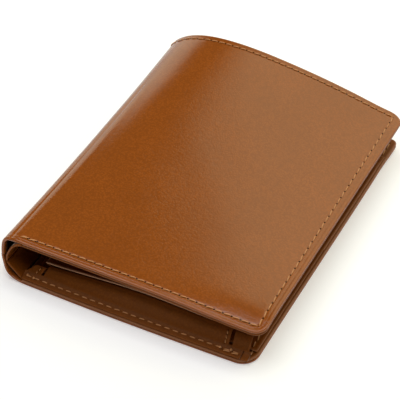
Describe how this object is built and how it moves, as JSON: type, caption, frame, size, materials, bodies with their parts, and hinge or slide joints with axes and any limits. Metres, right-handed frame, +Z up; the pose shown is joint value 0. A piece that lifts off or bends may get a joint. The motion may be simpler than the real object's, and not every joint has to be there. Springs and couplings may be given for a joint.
{
  "type": "bifold combination wallet",
  "caption": "Upright bifold leather wallet, closed, with a banknote compartment, stepped card slots, a bellows coin pocket under a press-stud flap and a folding spine.",
  "frame": {"origin": "centre of the bounding box, on the face it rests on", "axes": "+X from the spine to the free edges, +Y along the spine from the closed bottom seam to the open top, +Z up through the closed wallet"},
  "size_m": [0.0938, 0.125, 0.0264],
  "materials": {
    "outer_leather": "glossy smooth cognac leather with fine grain",
    "inner_leather": "smooth cognac leather, satin",
    "lining_fabric": "plain woven dark brown lining",
    "thread": "twisted tan thread",
    "stud_metal": "antique brass, satin"
  },
  "bodies": {
    "back_half": {"shell_back": "outer_leather", "lining_back": "lining_fabric", "base_back": "inner_leather", "card_slot_back_1": "inner_leather", "card_slot_back_2": "inner_leather", "coin_gusset_bottom": "inner_leather", "coin_gusset_left": "inner_leather", "coin_gusset_right": "inner_leather", "flap_root": "inner_leather", "thread_back_edge": "thread", "thread_back_slots": "thread", "thread_coin_pocket": "thread", "thread_flap_root": "thread"},
    "spine": {"shell_spine": "outer_leather", "lining_spine": "lining_fabric", "hinge_panel": "inner_leather", "thread_spine": "thread"},
    "front_half": {"shell_front": "outer_leather", "lining_front": "lining_fabric", "base_front": "inner_leather", "card_slot_front_1": "inner_leather", "card_slot_front_2": "inner_leather", "card_slot_front_3": "inner_leather", "card_slot_front_4": "inner_leather", "thread_front_edge": "thread", "thread_front_slots": "thread"},
    "coin_front": {"coin_front_panel": "inner_leather", "stud_nub": "stud_metal", "stud_rivet": "stud_metal"},
    "coin_flap": {"coin_flap": "inner_leather", "coin_flap_lining": "lining_fabric", "stud_cap": "stud_metal", "stud_socket": "stud_metal"}
  },
  "joints": [
    {"name": "spine_fold", "type": "hinge", "parent": "back_half", "child": "spine", "pos_m": [-0.0452, 0, 0.0012], "axis": [0, -1, 0], "range_deg": [0, 90]},
    {"name": "cover_fold", "type": "hinge", "parent": "spine", "child": "front_half", "pos_m": [-0.0456, 0, 0.0167], "axis": [0, -1, 0], "range_deg": [0, 90]},
    {"name": "flap_hinge", "type": "hinge", "parent": "back_half", "child": "coin_flap", "pos_m": [0, 0.0263, 0.0106], "axis": [-1, 0, 0], "range_deg": [0, 112.5]},
    {"name": "coin_front_tilt", "type": "hinge", "parent": "back_half", "child": "coin_front", "pos_m": [0, -0.0576, 0.0082], "axis": [1, 0, 0], "range_deg": [0, 9]}
  ],
  "couplings": [
    {"joint": "cover_fold", "follows": "spine_fold", "ratio": 1},
    {"joint": "flap_hinge", "follows": "spine_fold", "ratio": 1.25},
    {"joint": "coin_front_tilt", "follows": "spine_fold", "ratio": 0.1}
  ]
}
